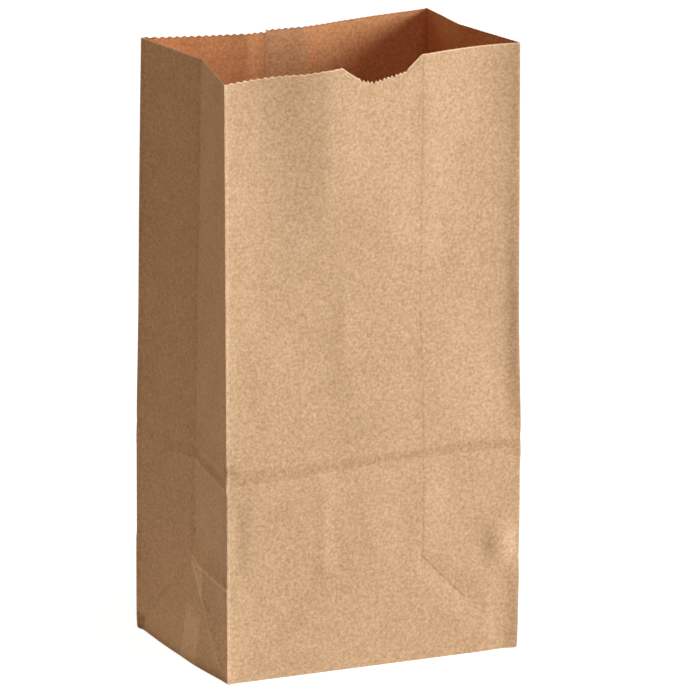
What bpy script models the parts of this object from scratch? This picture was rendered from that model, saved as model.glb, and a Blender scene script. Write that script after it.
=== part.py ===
"""Brown paper lunch bag: one kraft blank, cut and creased flat, then folded up.

The flat blank is drawn in (s, t). s runs round the bag from the outer edge of the glued
back seam, past the left gusset, the front and the right gusset, to the inner edge of the
seam. t runs up the bag: t = 0 is the ring of bottom creases, and the bottom flaps hang
below it. fold() carries each point of the creased blank to its place on the standing bag.
The bag stands on z = 0 with its front towards -Y, and the mouth is open at the top.
"""
from math import sqrt

import bmesh
import bpy
from mathutils import Vector
from numpy import interp

# Driving dimensions, in metres.
WIDTH = 0.113            # front and back panels
DEPTH = 0.0746           # side gussets
HEIGHT = 0.2175          # bottom to the tips of the teeth at the mouth
PAPER = 0.0001           # thickness of the kraft paper
LAYER_GAP = 0.00003      # air between two folded layers
BOTTOM_LAP = 0.010       # how far the front and back flaps lap under the bag's middle
SEAM_START = 0.044       # back left corner to the inner free edge of the back seam
SEAM_LAP = 0.016         # width of the glued lap
SEAM_JOGGLE = 0.003      # where the inner layer of the lap steps out to the back panel
TOOTH_PITCH = 0.00254    # pinking along the mouth and along the flaps' free edge
TOOTH_DEPTH = 0.0006
NOTCH_WIDTH = 0.0335     # thumb notch, across its shoulders
NOTCH_FLOOR = 0.0195     # thumb notch, across its toothed floor
NOTCH_DEPTH = 0.0065
NOTCH_SHIFT = 0.0035     # the notch lies to the right of the front panel's middle
TUCK_LEFT = 0.0080       # how far the left gusset folds in at the mouth
TUCK_RIGHT = 0.0055
KNEE = 0.0010            # how far a gusset stands out where its diagonal creases meet
BACK_DENT = 0.0100       # how far the back is pressed in at the mouth, left of the seam
LAP_DENT = 0.0095        # the same at the seam, which stays flat across its lap
BAND_HEIGHT = 0.0715     # lower of two creases round the bag, where it was folded flat
BAND_WIDTH = 0.0055      # from it up to the other crease
BAND_SWELL = 0.0004      # how far the lower crease stands out
BAND_PINCH = 0.0006      # how far the upper crease is pinched in
IMPRINT = 0.0003         # ridge that the pressed gussets leave on the front and back
PINHOLE = 0.0008         # half the small hole left where the folds of a bottom corner meet
EDGE_MARGIN = 0.003      # plain paper kept between the teeth and the next line of points

# Worked out from them.
PITCH = PAPER + LAYER_GAP                # one folded layer to the next
TURN = PITCH / 2                         # half the strip of paper that turns over at a fold
DIAGONAL_TURN = PITCH / sqrt(2)          # the same across a 45 degree fold, along s or t
HALF_DEPTH = DEPTH / 2
FLAP = HALF_DEPTH + BOTTOM_LAP / 2       # bottom crease to the free edge of a bottom flap
BACK_LEFT = SEAM_START + SEAM_LAP        # s at the four upright edges
FRONT_LEFT = BACK_LEFT + DEPTH
FRONT_RIGHT = FRONT_LEFT + WIDTH
BACK_RIGHT = FRONT_RIGHT + DEPTH
BLANK_END = BACK_RIGHT + WIDTH - SEAM_START

# Each corner of the bottom: s of its edge, which way the wide panel lies from it along s,
# and the signs of its place in x and y.
CORNERS = (
    (BACK_LEFT, -1, -1, 1),
    (FRONT_LEFT, 1, -1, -1),
    (FRONT_RIGHT, -1, 1, -1),
    (BACK_RIGHT, 1, 1, 1),
)

# The bottom is a stack of folded layers, numbered from the inside of the bag.
SIDE_FLAP, FRONT_CORNER, FRONT_FLAP, BACK_CORNER, SEAM_INNER, BACK_FLAP = range(1, 7)


def layer_height(layer):
    """Height of the middle of one layer of the bottom; the last layer lies on z = 0."""
    return PAPER / 2 + (BACK_FLAP - layer) * PITCH


def cut_depth(s):
    """How far the knife's line lies below a straight cut: only the thumb notch does."""
    middle = (FRONT_LEFT + FRONT_RIGHT) / 2 + NOTCH_SHIFT
    run = (NOTCH_WIDTH - NOTCH_FLOOR) / 2
    from_shoulder = NOTCH_WIDTH / 2 - abs(s - middle)
    return NOTCH_DEPTH * min(max(from_shoulder / run, 0.0), 1.0)


def knife_line():
    """The pinked cut across the blank, as (s, depth below the tips), left to right.

    The teeth keep one pitch all the way. The sloping sides of the notch are plain, and
    the cut runs level across the narrow strips that turn over at the four upright edges.
    """
    middle = (FRONT_LEFT + FRONT_RIGHT) / 2 + NOTCH_SHIFT
    shoulders = (middle - NOTCH_WIDTH / 2, middle + NOTCH_WIDTH / 2)
    floor = (middle - NOTCH_FLOOR / 2, middle + NOTCH_FLOOR / 2)
    teeth = round(BLANK_END / TOOTH_PITCH)
    step = BLANK_END / (2 * teeth)
    line = [(s, cut_depth(s)) for s in shoulders + floor]
    for k in range(2 * teeth + 1):
        s = k * step
        outside = s < shoulders[0] - step / 2 or s > shoulders[1] + step / 2
        on_floor = floor[0] + step / 2 < s < floor[1] - step / 2
        clear = min(abs(s - corner[0]) for corner in CORNERS) > 3 * TURN
        if clear and (outside or on_floor):
            line.append((s, cut_depth(s) + TOOTH_DEPTH * (k % 2)))
    for corner in CORNERS:
        line.append((corner[0] - TURN, TOOTH_DEPTH / 2))
        line.append((corner[0] + TURN, TOOTH_DEPTH / 2))
    return sorted(line)


def gusset_inset(side, z):
    """How far the middle crease of a gusset stands inside the flat side, at height z."""
    if z <= HALF_DEPTH:
        return -KNEE * z / HALF_DEPTH
    tuck = TUCK_LEFT if side < 0 else TUCK_RIGHT
    rise = (z - HALF_DEPTH) / (HEIGHT - HALF_DEPTH)
    return (tuck + KNEE) * rise - KNEE


def edge_depth(side, z):
    """Half the bag's depth at one side: what a gusset folds in, the mouth loses."""
    return sqrt(HALF_DEPTH ** 2 - gusset_inset(side, z) ** 2)


def back_dent(from_left, z):
    """How far the back wall is pressed in: most where the left gusset marked it."""
    rise = max(0.0, (z - HALF_DEPTH) / (HEIGHT - HALF_DEPTH))
    bends = (0.0, HALF_DEPTH, SEAM_START, SEAM_START + SEAM_LAP + PITCH, WIDTH)
    return rise * interp(from_left, bends, (0.0, BACK_DENT, LAP_DENT, LAP_DENT, 0.0))


def dent_take_up(z):
    """How far the bent back wall draws in its left edge, as its paper doesn't stretch."""
    return back_dent(HALF_DEPTH, z) ** 2 / 2 * (1 / HALF_DEPTH + 1 / (WIDTH - HALF_DEPTH))


def band_relief(z):
    """How far the pair of creases round the bag pushes the paper out, at height z."""
    low = max(0.0, 1.0 - abs(z - BAND_HEIGHT) / BAND_WIDTH)
    high = max(0.0, 1.0 - abs(z - BAND_HEIGHT - BAND_WIDTH) / BAND_WIDTH)
    return BAND_SWELL * low - BAND_PINCH * high


def imprint_relief(from_edge, z):
    """Ridge on a wide panel along the outline that the gusset pressed into it."""
    ridge = min(z, HALF_DEPTH)
    return IMPRINT * ridge / HALF_DEPTH * max(0.0, 1.0 - abs(from_edge - ridge) / HALF_DEPTH)


def seam_layer(from_left):
    """1 where the back panel's right part lies inside the lap, easing to 0 beyond it."""
    past = from_left - SEAM_START - SEAM_LAP - PITCH
    return min(max(1.0 - past / SEAM_JOGGLE, 0.0), 1.0)


def fold_wide_wall(side, end, from_edge, z, inset):
    """A point of the front or back wall, at a distance from its edge on one side."""
    share = from_edge / WIDTH
    depth = (1 - share) * edge_depth(side, z) + share * edge_depth(-side, z)
    nearest = min(from_edge, WIDTH - from_edge)
    out = band_relief(z) + imprint_relief(nearest, z) - inset
    x = side * (1 - 2 * share) * (WIDTH / 2 + band_relief(z))
    if end > 0:
        from_left = from_edge if side < 0 else WIDTH - from_edge
        out -= back_dent(from_left, z)
        x += dent_take_up(z) * (1 - from_left / WIDTH)
    return Vector((x, end * (depth + out), z))


def fold_gusset_wall(side, from_front, z):
    """A point of a side wall: two flat halves that meet at the middle crease."""
    from_middle = (from_front - HALF_DEPTH) / HALF_DEPTH
    y = from_middle * (edge_depth(side, z) + band_relief(z))
    inset = (1 - abs(from_middle)) * gusset_inset(side, z)
    if side < 0:
        inset += max(from_middle, 0.0) * dent_take_up(z)
    return Vector((side * (WIDTH / 2 - inset + band_relief(z)), y, z))


def fold_wide_flap(side, end, from_edge, reach, inset, layers):
    """A point of the front or back bottom flap, and of the corner tucked under its side."""
    corner_layer, flap_layer = layers
    if from_edge > reach:
        x, y, layer = from_edge, reach + inset, flap_layer
        lift = inset
    else:
        clear = PITCH if end < 0 else 2 * PITCH
        x, y, layer = reach, from_edge - TURN + clear, corner_layer
        lift = 0.0
    return Vector((side * (WIDTH / 2 - x), end * (HALF_DEPTH - y), layer_height(layer) + lift))


def fold_side_flap(side, from_front, reach):
    """A point of a side flap, which lies innermost, clear of the front and back walls."""
    share = (from_front - TURN) / (DEPTH - 2 * TURN)
    y = PITCH + share * (DEPTH - 3 * PITCH)
    return Vector((side * (WIDTH / 2 - reach), y - HALF_DEPTH, layer_height(SIDE_FLAP)))


def fold(s, t):
    """The place on the standing bag of the point (s, t) of the flat blank."""
    if BACK_LEFT < s < FRONT_LEFT or FRONT_RIGHT < s < BACK_RIGHT:
        side = -1 if s < FRONT_LEFT else 1
        from_front = FRONT_LEFT - s if side < 0 else s - FRONT_RIGHT
        if t < 0:
            return fold_side_flap(side, from_front, -t)
        foot = layer_height(SIDE_FLAP)
        return fold_gusset_wall(side, from_front, foot + t * (1 - foot / HEIGHT))

    end, inset = 1, 0.0
    layers = (BACK_CORNER, BACK_FLAP)
    if FRONT_LEFT < s < FRONT_RIGHT:
        end = -1
        layers = (FRONT_CORNER, FRONT_FLAP)
        side = -1 if s < (FRONT_LEFT + FRONT_RIGHT) / 2 else 1
        from_edge = s - FRONT_LEFT if side < 0 else FRONT_RIGHT - s
    elif s < BACK_LEFT:
        side, from_edge = -1, BACK_LEFT - s
    else:
        side, from_edge = 1, s - BACK_RIGHT
        inset = PITCH * seam_layer(WIDTH - from_edge)
    if t < 0:
        return fold_wide_flap(side, end, from_edge, -t, inset, layers)
    foot = layer_height(layers[1]) + inset
    return fold_wide_wall(side, end, from_edge, foot + t * (1 - foot / HEIGHT), inset)


def score(bm, s, t, normal, picks):
    """Score a straight line through (s, t) across the faces whose middle picks() takes."""
    faces = [face for face in bm.faces if picks(*face.calc_center_median().xy)]
    edges = {edge for face in faces for edge in face.edges}
    verts = {vert for face in faces for vert in face.verts}
    bmesh.ops.bisect_plane(
        bm, geom=faces + list(edges) + list(verts), dist=1e-7,
        plane_co=(s, t, 0), plane_no=(*normal, 0))


def everywhere(s, t):
    return True


def cut_blank(bm):
    """The flat blank: pinked along the mouth and, by the same knife, along the flaps."""
    line = knife_line()
    mouth = [(s, HEIGHT - depth, 0) for s, depth in line]
    free_edge = [(s, -FLAP - depth, 0) for s, depth in line]
    outline = [bm.verts.new(point) for point in free_edge + mouth[::-1]]
    bm.faces.new(outline)


def crease_blank(bm):
    """Score the blank along every line at which it will bend."""
    upright = [BACK_LEFT + HALF_DEPTH, FRONT_RIGHT + HALF_DEPTH]
    for s, way, side, end in CORNERS:
        upright += [s - TURN, s + TURN, s + way * HALF_DEPTH]
    upright += [SEAM_LAP, (FRONT_LEFT + FRONT_RIGHT) / 2]
    lap_end = BACK_RIGHT + WIDTH - SEAM_START - SEAM_LAP - PITCH
    upright += [lap_end, lap_end - SEAM_JOGGLE]
    for s in upright:
        score(bm, s, 0, (1, 0), everywhere)
    knife_reach = NOTCH_DEPTH + TOOTH_DEPTH
    level = [
        EDGE_MARGIN - FLAP,
        0.0,
        HALF_DEPTH,
        BAND_HEIGHT - BAND_WIDTH,
        BAND_HEIGHT,
        BAND_HEIGHT + BAND_WIDTH,
        BAND_HEIGHT + 2 * BAND_WIDTH,
        HEIGHT - knife_reach - EDGE_MARGIN,
    ]
    for t in level:
        score(bm, 0, t, (0, 1), everywhere)
    for s, way, side, end in CORNERS:
        crease_corner(bm, s, way)


def crease_corner(bm, corner, way):
    """Score the diagonal folds that meet at one bottom corner, and leave its pinhole."""
    def flap(s, t):
        return t < 0 and TURN < way * (s - corner) < WIDTH / 2

    def gusset_foot(s, t):
        return 0 < t < HALF_DEPTH and TURN < way * (corner - s) < HALF_DEPTH

    def panel_foot(s, t):
        return 0 < t < HALF_DEPTH and TURN < way * (s - corner) < HALF_DEPTH

    def around(s, t):
        return abs(s - corner) < HALF_DEPTH and abs(t) < HALF_DEPTH

    def in_square(s, t):
        return abs(s - corner) < PINHOLE and abs(t) < PINHOLE

    for turn in (-DIAGONAL_TURN, DIAGONAL_TURN):
        score(bm, corner + way * turn, 0, (way, 1), flap)
    score(bm, corner, 0, (way, 1), gusset_foot)
    score(bm, corner, 0, (way, -1), panel_foot)
    for reach in (-PINHOLE, PINHOLE):
        score(bm, corner + reach, 0, (1, 0), around)
        score(bm, corner, reach, (0, 1), around)
    octagon = PINHOLE * sqrt(2)
    for reach in (-octagon, octagon):
        score(bm, corner + reach, 0, (1, 1), in_square)
        score(bm, corner + reach, 0, (1, -1), in_square)
    hole = []
    for face in bm.faces:
        s, t = face.calc_center_median().xy
        if in_square(s, t) and abs(s - corner) + abs(t) < octagon:
            hole.append(face)
    bmesh.ops.delete(bm, geom=hole, context="FACES")
    in_turn = [
        vert for vert in bm.verts
        if abs(way * (vert.co.x - corner) + vert.co.y) < TURN / 2
        and -1.5 * PINHOLE < vert.co.y < -TURN
    ]
    bmesh.ops.dissolve_verts(bm, verts=in_turn)


def make_bag():
    """Cut, crease and fold the blank, and give it the paper's thickness."""
    bm = bmesh.new()
    cut_blank(bm)
    crease_blank(bm)
    bmesh.ops.triangulate(bm, faces=bm.faces, quad_method="BEAUTY", ngon_method="BEAUTY")
    for vert in bm.verts:
        vert.co = fold(vert.co.x, vert.co.y)
    mesh = bpy.data.meshes.new("paper_bag")
    bm.to_mesh(mesh)
    bm.free()
    bag = bpy.data.objects.new("paper_bag", mesh)
    thicken = bag.modifiers.new("paper thickness", "SOLIDIFY")
    thicken.thickness = PAPER
    thicken.offset = 0.0
    thicken.solidify_mode = "NON_MANIFOLD"
    thicken.nonmanifold_thickness_mode = "CONSTRAINTS"
    return bag


def kraft_paper():
    """Unbleached kraft: warm brown, matt."""
    material = bpy.data.materials.new("kraft_paper")
    material.use_nodes = True
    shader = material.node_tree.nodes["Principled BSDF"]
    shader.inputs["Base Color"].default_value = (0.65, 0.43, 0.25, 1.0)
    shader.inputs["Roughness"].default_value = 0.85
    shader.inputs["Metallic"].default_value = 0.0
    material.diffuse_color = (0.65, 0.43, 0.25, 1.0)
    return material


def main():
    for old in list(bpy.data.objects):
        bpy.data.objects.remove(old)
    group = bpy.data.collections.new("paper_lunch_bag")
    bpy.context.scene.collection.children.link(group)
    bag = make_bag()
    bag.data.materials.append(kraft_paper())
    group.objects.link(bag)


main()
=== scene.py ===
# %% [markdown]
# # A brown paper lunch bag
#
# The real bag is one kraft blank, cut with a pinking knife, glued into a tube at the
# back, folded flat and opened out again by hand. This script makes it the same way: a
# flat sheet is cut and scored, each of its points is carried to its place on the
# standing bag, and the sheet then gets the paper's thickness and its finish.
# The imported model comes first.

# %% Load the imported model
from math import cos, exp, pi, radians, sin, sqrt

import bmesh
import bpy
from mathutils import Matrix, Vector, noise
from numpy import interp


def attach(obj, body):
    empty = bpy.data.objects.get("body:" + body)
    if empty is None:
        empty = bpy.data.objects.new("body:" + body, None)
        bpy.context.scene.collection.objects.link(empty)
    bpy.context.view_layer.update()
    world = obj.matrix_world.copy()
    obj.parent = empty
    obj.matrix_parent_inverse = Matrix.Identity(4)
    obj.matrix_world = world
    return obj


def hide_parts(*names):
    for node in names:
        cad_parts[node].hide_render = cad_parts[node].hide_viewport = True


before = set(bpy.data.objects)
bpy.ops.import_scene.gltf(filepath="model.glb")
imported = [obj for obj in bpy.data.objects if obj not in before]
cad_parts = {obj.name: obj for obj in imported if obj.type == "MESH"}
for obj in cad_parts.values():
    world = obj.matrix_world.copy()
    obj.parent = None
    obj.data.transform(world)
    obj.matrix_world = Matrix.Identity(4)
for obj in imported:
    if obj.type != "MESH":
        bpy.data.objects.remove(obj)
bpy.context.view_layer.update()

# %% [markdown]
# ## Where the camera stands
#
# The picture was taken with a long lens, from the left of the front and a little above
# it. Lines that run away from the camera hardly draw together, so the camera stands more
# than three metres off. It has no roll and no shift: it is simply aimed beside the bag's
# middle, at half its height.

# %% Make the camera
AZIMUTH = radians(-25.23)
ELEVATION = radians(14.92)
CAMERA_DISTANCE = 3.213
LENS = 466.6
FILM_WIDTH = 36.0
AIM_ASIDE = 0.0077
AIM_HEIGHT = 0.10613

aim = Vector((cos(AZIMUTH), sin(AZIMUTH), 0)) * AIM_ASIDE + Vector((0, 0, AIM_HEIGHT))
towards_camera = Vector((
    sin(AZIMUTH) * cos(ELEVATION),
    -cos(AZIMUTH) * cos(ELEVATION),
    sin(ELEVATION),
))
bpy.ops.object.select_all(action="DESELECT")
bpy.ops.object.camera_add(
    location=aim + towards_camera * CAMERA_DISTANCE,
    rotation=towards_camera.to_track_quat("Z", "Y").to_euler())
camera = bpy.context.object
camera.name = "camera"
camera.data.lens = LENS
camera.data.sensor_width = FILM_WIDTH
bpy.context.scene.camera = camera
print("camera at", camera.location)

# %% [markdown]
# ## Measures of the blank
#
# The blank is drawn in two directions. s runs round the bag: from the outer edge of the
# glued seam in the back, over the left gusset, the front and the right gusset, to the
# inner edge of the seam. t runs up the bag from the ring of bottom creases, and the
# bottom flaps hang below zero. All lengths are in metres.
# Where layers lie on each other, each of them takes up one pitch: the paper and a little
# air. A fold turns over within half a pitch on either side of its crease.

# %% Sizes of the blank and of its folds
WIDTH = 0.113
DEPTH = 0.0746
HEIGHT = 0.2175
PAPER = 0.0001
PITCH = 0.00013
TURN = PITCH / 2
SEAM_START = 0.044
SEAM_LAP = 0.016
SEAM_JOGGLE = 0.003
HALF_DEPTH = DEPTH / 2
FLAP_LAP = 0.005
FLAP = HALF_DEPTH + FLAP_LAP

BACK_LEFT = SEAM_START + SEAM_LAP
FRONT_LEFT = BACK_LEFT + DEPTH
FRONT_RIGHT = FRONT_LEFT + WIDTH
BACK_RIGHT = FRONT_RIGHT + DEPTH
BLANK_END = BACK_RIGHT + WIDTH - SEAM_START
EDGES = (BACK_LEFT, FRONT_LEFT, FRONT_RIGHT, BACK_RIGHT)
print(f"the blank is {BLANK_END * 1000:.1f} by {(HEIGHT + FLAP) * 1000:.1f} mm")

# %% [markdown]
# ## Lines of points across the sheet
#
# Paper bends only where it is creased, so the sheet needs its points on the creases and
# close beside them, where a fold is round. Between them an even spacing is enough to
# carry the slow waves of the panels. The columns also have to hit each tip and each
# valley of the pinked edge, so their even spacing is half a tooth. A list of places is
# made for the columns and one for the rows, and an even line that comes too close to a
# line with a purpose is left out.

# %% List the columns
TEETH = 154
TOOTH_PITCH = BLANK_END / TEETH
NOTCH_FROM = 0.0440
NICK = 0.0008
NICK_COLUMNS = 40
PINHOLE = 0.0004
BESIDE_EDGE = (TURN, PINHOLE, 0.0009, 0.0016, 0.0026)
COLUMN_CLEAR = 0.00045


def spaced(even, purposeful, clear):
    """Places with a purpose, and the even ones that keep clear of them, in order."""
    kept = [at for at in even if min(abs(at - other) for other in purposeful) > clear]
    return sorted(kept + purposeful)


columns = [0.0, BLANK_END, BACK_LEFT + HALF_DEPTH, FRONT_RIGHT + HALF_DEPTH]
for edge in EDGES:
    for off in BESIDE_EDGE:
        columns += [edge - off, edge + off]
columns += [BACK_LEFT - HALF_DEPTH, FRONT_LEFT + HALF_DEPTH, FRONT_RIGHT - HALF_DEPTH]
columns += [SEAM_LAP, BLANK_END - SEAM_LAP - PITCH, BLANK_END - SEAM_LAP - SEAM_JOGGLE]
columns += [FRONT_LEFT + NOTCH_FROM + k * NICK for k in range(NICK_COLUMNS)]
half_teeth = [k * TOOTH_PITCH / 2 for k in range(2 * TEETH + 1)]
columns = spaced(half_teeth, columns, COLUMN_CLEAR)
print(len(columns), "columns")

# %% List the rows
BAND_LOW = 0.0715
BAND_HIGH = 0.0770
ROW = 0.0024
FLAP_ROW = 0.0034
ROW_CLEAR = 0.0009
ABOVE_FLAP_CUT = 0.0025
BELOW_MOUTH_CUT = (0.0035, 0.0018, 0.0)
BESIDE_FOOT = (-0.0010, -PINHOLE, 0.0, PINHOLE, 0.0010, 0.0018, 0.0028)
BESIDE_KNEE = 0.0011
BESIDE_CREASE = 0.0010

rows = [-FLAP, -FLAP + ABOVE_FLAP_CUT, *BESIDE_FOOT]
rows += [HALF_DEPTH - BESIDE_KNEE, HALF_DEPTH, HALF_DEPTH + BESIDE_KNEE]
for crease in (BAND_LOW, BAND_HIGH):
    rows += [crease - BESIDE_CREASE, crease, crease + BESIDE_CREASE]
rows += [HEIGHT - below for below in BELOW_MOUTH_CUT]
even_rows = [k * ROW for k in range(1, int(HEIGHT / ROW))]
even_rows += [-k * FLAP_ROW for k in range(1, int(FLAP / FLAP_ROW))]
rows = spaced(even_rows, rows, ROW_CLEAR)
print(len(rows), "rows")

# %% [markdown]
# ## The flat sheet
#
# A grid primitive of that many cells is the sheet. Its lines are then slid to the listed
# places. A grid gives clean, even faces, which fold and shade better than the long thin
# triangles that a knife-cut outline would leave.

# %% Make the sheet
bpy.ops.object.select_all(action="DESELECT")
bpy.ops.mesh.primitive_grid_add(
    x_subdivisions=len(columns) - 1, y_subdivisions=len(rows) - 1, size=1)
bag = bpy.context.object
bag.name = "kraft_bag"
for vert in bag.data.vertices:
    column = round((vert.co.x + 0.5) * (len(columns) - 1))
    row = round((vert.co.y + 0.5) * (len(rows) - 1))
    vert.co = (columns[column], rows[row], 0)
print("the flat sheet has", len(bag.data.polygons), "faces")

# %% [markdown]
# ## The pinked cut and the thumb notch
#
# One toothed knife parts each blank from the next, so the same line runs along the mouth
# and along the bottom flaps. In the front it dips into a thumb notch. On this bag the
# notch is not quite even: its left side is a curve, its floor climbs to the right with
# small nicks of uneven depth, and its right side is straight and plain. The knife's line
# is given by a few of its points, and the rows near the cut follow it, each a little
# less than the one beyond it. The knife was sharpest at the seam and at the left of the
# front. Towards the right its teeth are worn, and the cut is nearly plain.

# %% Cut the teeth and the notch
NOTCH_AT = (0.0432, 0.0462, 0.0493, 0.0517, 0.0555, 0.0580, 0.0612, 0.0684, 0.0750)
NOTCH_DOWN = (0.0, 0.0023, 0.0045, 0.0058, 0.0068, 0.0066, 0.0061, 0.0052, 0.0)
SHARP_AT = (
    0.0, BACK_LEFT, BACK_LEFT + 0.030, FRONT_LEFT - 0.037, FRONT_LEFT, FRONT_LEFT + 0.028,
    FRONT_LEFT + 0.044, FRONT_LEFT + 0.078, BACK_RIGHT, BLANK_END - 0.030, BLANK_END)
SHARP = (1.0, 1.0, 0.6, 0.2, 1.1, 1.0, 0.35, 0.2, 0.15, 0.35, 1.0)
TOOTH_DEPTH = 0.0006
NICK_DEPTH = 0.0011
PLAIN_SHARE = 0.3
NOTCH_FLOOR = (0.0500, 0.0695)
NOTCH_SPAN = (0.0438, 0.0755)
PLAIN_AT_EDGE = 0.0003
CUT_REACH = 0.020


def soft(share):
    """0 below 0 and 1 above 1, rising between them with a soft start and end."""
    share = min(max(share, 0.0), 1.0)
    return share * share * (3 - 2 * share)


def notch_depth(s):
    """How far the knife's line lies below a straight cut."""
    return float(interp(s - FRONT_LEFT, NOTCH_AT, NOTCH_DOWN))


def tooth_depth(s):
    """The teeth themselves. The notch's two sides and the folded edges are plain."""
    along = s - FRONT_LEFT
    if NOTCH_FLOOR[0] < along < NOTCH_FLOOR[1]:
        nick = round((along - NOTCH_FROM) / NICK)
        size = 0.9 + 0.8 * noise.noise(Vector((nick * 0.73, 8.4, 0.5)))
        return NICK_DEPTH * size * (nick % 2)
    from_edge = min(abs(s - edge) for edge in EDGES)
    if NOTCH_SPAN[0] < along < NOTCH_SPAN[1] or from_edge < PLAIN_AT_EDGE:
        return TOOTH_DEPTH * PLAIN_SHARE
    phase = (s / TOOTH_PITCH) % 1
    sharp = float(interp(s, SHARP_AT, SHARP))
    return TOOTH_DEPTH * (sharp * (1 - abs(2 * phase - 1)) + PLAIN_SHARE * (1 - sharp))


def pull(distance):
    """How much of the cut's dip reaches a row at this distance from the cut."""
    return soft(1 - distance / CUT_REACH)


from_cut = bag.data.attributes.new("from_cut", "FLOAT", "POINT")
for vert in bag.data.vertices:
    s, t = vert.co.xy
    distance = min(HEIGHT - t, t + FLAP)
    from_cut.data[vert.index].value = distance
    vert.co.y -= notch_depth(s) * pull(distance)
    if distance < 1e-6:
        vert.co.y -= tooth_depth(s)
print("the notch is", max(NOTCH_DOWN) * 1000, "mm deep")

# %% [markdown]
# ## Scoring the slanting folds
#
# Each bottom corner has slanting folds that start in it: in the flaps, where the paper
# turns over, in the foot of the gusset, and faintly in the front and back, where the
# gusset was pressed against them. The bisect operator scores a straight line across the
# faces that are selected, so a small helper selects faces by their place first.
# Where the folds of a corner meet, real paper leaves a pinhole. It is cut here too.
# Each corner is listed with the way from its crease into the front or back: 1 is along s.

# %% Score the corners
CORNERS = ((BACK_LEFT, -1), (FRONT_LEFT, 1), (FRONT_RIGHT, -1), (BACK_RIGHT, 1))
DIAGONAL_TURN = PITCH / sqrt(2)
PINHOLE_REACH = 1.2 * PINHOLE


def select_faces(picks):
    """Select the faces of the mesh in edit mode whose middle picks() takes."""
    bpy.ops.mesh.select_all(action="DESELECT")
    mesh = bmesh.from_edit_mesh(bag.data)
    for face in mesh.faces:
        face.select_set(picks(*face.calc_center_median().xy))
    bmesh.update_edit_mesh(bag.data)


def score(s, t, normal, picks):
    """Score the line through (s, t) across the faces that picks() takes."""
    select_faces(picks)
    bpy.ops.mesh.bisect(
        plane_co=(s, t, 0), plane_no=(*normal, 0), threshold=1e-6)


def score_corner(corner, way):
    """Score the folds that meet at one bottom corner."""
    def flap(s, t):
        return t < 0 and TURN < way * (s - corner) < WIDTH / 2

    def gusset_foot(s, t):
        return 0 < t < HALF_DEPTH and TURN < way * (corner - s) < HALF_DEPTH

    def panel_foot(s, t):
        return 0 < t < HALF_DEPTH and TURN < way * (s - corner) < HALF_DEPTH

    for turn in (-DIAGONAL_TURN, DIAGONAL_TURN):
        score(corner + way * turn, 0, (way, 1), flap)
    score(corner, 0, (way, 1), gusset_foot)
    score(corner, 0, (way, -1), panel_foot)


bpy.ops.object.mode_set(mode="EDIT")
bpy.ops.mesh.select_mode(type="FACE")
for corner, way in CORNERS:
    score_corner(corner, way)
select_faces(lambda s, t: min(
    abs(s - edge) + abs(t) for edge in EDGES) < PINHOLE_REACH)
bpy.ops.mesh.delete(type="FACE")
bpy.ops.object.mode_set(mode="OBJECT")
print("scored into", len(bag.data.polygons), "faces")

# %% [markdown]
# ## How the walls stand
#
# A gusset is folded along its middle, and the fold ends in a knee at half the bag's
# depth. Both knees are pressed in. From each, two slanting folds run down to the bottom
# corners, with a flat triangle between them. Above the knees the gussets fold inwards,
# more so the higher they get, and as their paper doesn't stretch, the mouth loses depth
# by what Pythagoras says. The back is pressed in beside its seam. The mouth was also not
# opened square: its cut climbs from the left of the front to the right. Below the folded
# band the block is a little swollen at two opposite corners.

# %% Gussets, depth of the mouth, and the dent in the back
TUCK_LEFT, KNEE_LEFT = 0.0080, 0.0042
TUCK_RIGHT, KNEE_RIGHT = 0.0055, 0.0034
BACK_DENT_AT = (
    0.0, HALF_DEPTH, 0.0415, 0.0460, 0.0530, 0.0590, 0.0680, 0.0760, 0.0900, WIDTH)
BACK_DENT = (0.0, 0.0097, 0.0091, 0.0093, 0.0092, 0.0096, 0.0084, 0.0068, 0.0034, 0.0)
CLIMB_AT = (
    0.0, BACK_LEFT, BACK_LEFT + HALF_DEPTH, FRONT_LEFT, FRONT_LEFT + 0.020,
    FRONT_LEFT + 0.030, FRONT_LEFT + 0.042, FRONT_LEFT + 0.076, FRONT_LEFT + 0.084,
    FRONT_RIGHT, FRONT_RIGHT + HALF_DEPTH, BACK_RIGHT, BLANK_END)
CLIMB = (
    -0.0004, 0.0, -0.0006, -0.0012, 0.0, 0.0001, 0.0010, 0.0024, 0.0026,
    0.0028, 0.0022, -0.0002, 0.0005)
SWELL_TOP = 0.125
SWELL_EASE = 0.055
SWELL_LEFT = 0.0014
SWELL_RIGHT = 0.0020


def rise(z):
    """0 up to half the bag's depth, growing to 1 at the mouth."""
    return max(0.0, (z - HALF_DEPTH) / (HEIGHT - HALF_DEPTH))


def gusset_inset(side, z):
    """How far the middle crease of a gusset stands inside the flat side."""
    tuck, knee = (TUCK_LEFT, KNEE_LEFT) if side < 0 else (TUCK_RIGHT, KNEE_RIGHT)
    return knee + (tuck - knee) * rise(z)


def edge_depth(side, z):
    """Half the bag's depth at one side."""
    inset = gusset_inset(side, z) * min(z / HALF_DEPTH, 1.0)
    return sqrt(HALF_DEPTH ** 2 - inset ** 2)


def back_dent(from_left, z):
    """How far the back is pressed in."""
    return rise(z) * float(interp(from_left, BACK_DENT_AT, BACK_DENT))


def take_up(z):
    """How far the bent back draws in its left edge, as its paper doesn't stretch."""
    dent = back_dent(HALF_DEPTH, z)
    return dent ** 2 / 2 * (1 / HALF_DEPTH + 1 / (WIDTH - HALF_DEPTH))


def climb(s, z):
    """How far the skewed cut lifts or lowers the paper at height z."""
    return rise(z) * float(interp(s, CLIMB_AT, CLIMB))


def block_swell(z):
    """1 up to the folded band, easing to 0 above it: how far up the swollen foot reaches."""
    return soft((SWELL_TOP - z) / SWELL_EASE)


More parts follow.
